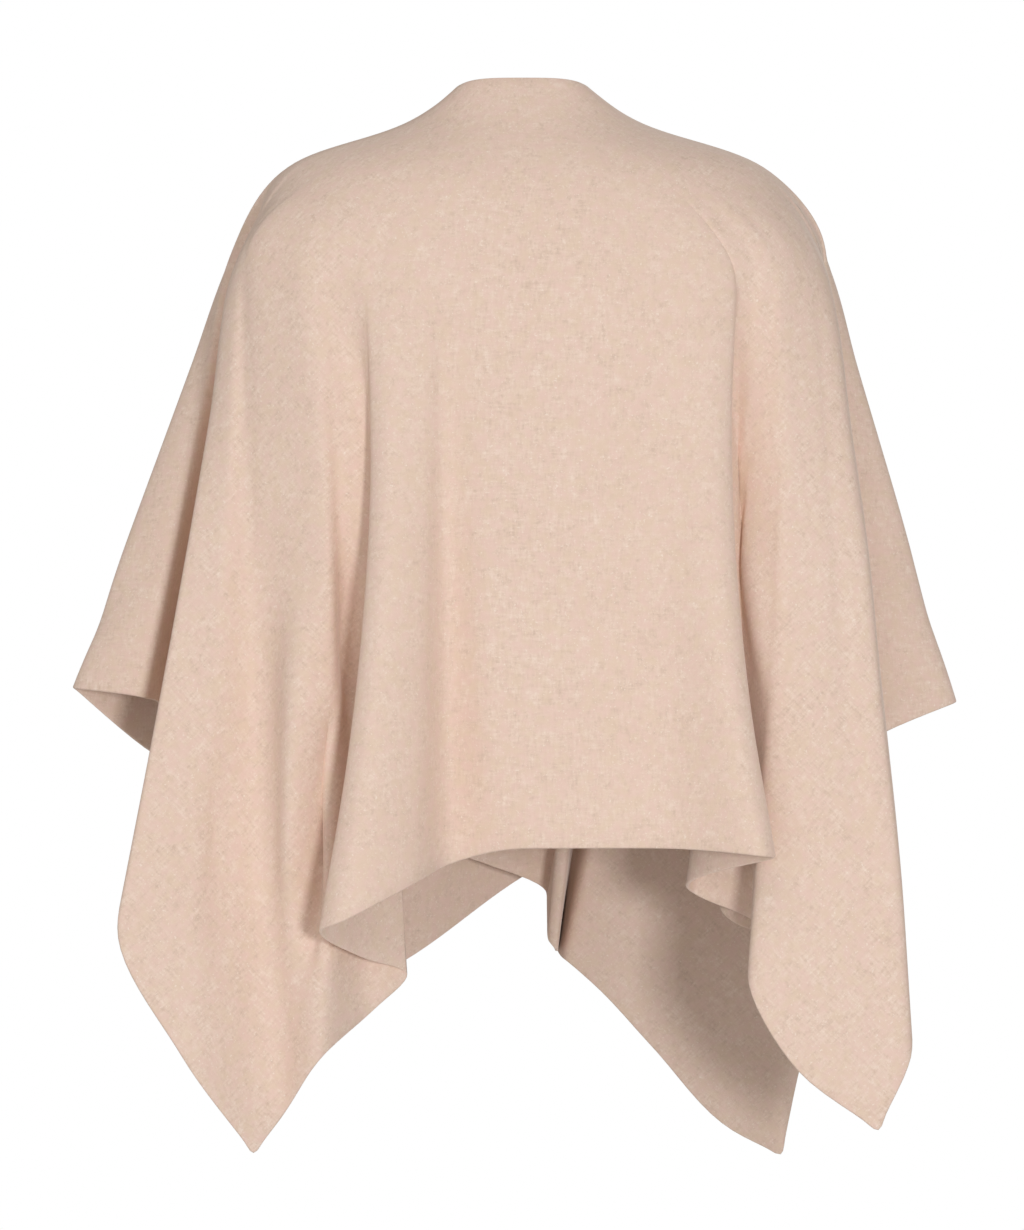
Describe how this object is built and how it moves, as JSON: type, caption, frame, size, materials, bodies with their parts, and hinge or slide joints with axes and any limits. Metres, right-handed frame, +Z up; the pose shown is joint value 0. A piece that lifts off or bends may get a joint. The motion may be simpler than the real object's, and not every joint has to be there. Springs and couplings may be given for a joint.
{
  "type": "wool cape",
  "caption": "Square wool wrap cape worn over the shoulders, open up the front, with deep soft folds and four hanging corners.",
  "frame": {"origin": "middle of the neck opening, level with the tops of the shoulders", "axes": "+Z up; the wearer faces -Y, so +X is the wearer's left and the back of the cape faces +Y"},
  "size_m": [0.7628, 0.5019, 0.9618],
  "materials": {
    "wool": "brushed and felted wool, beige heather, matt with a short nap"
  },
  "bodies": {
    "root": {"cape_cloth": "wool"}
  },
  "joints": []
}
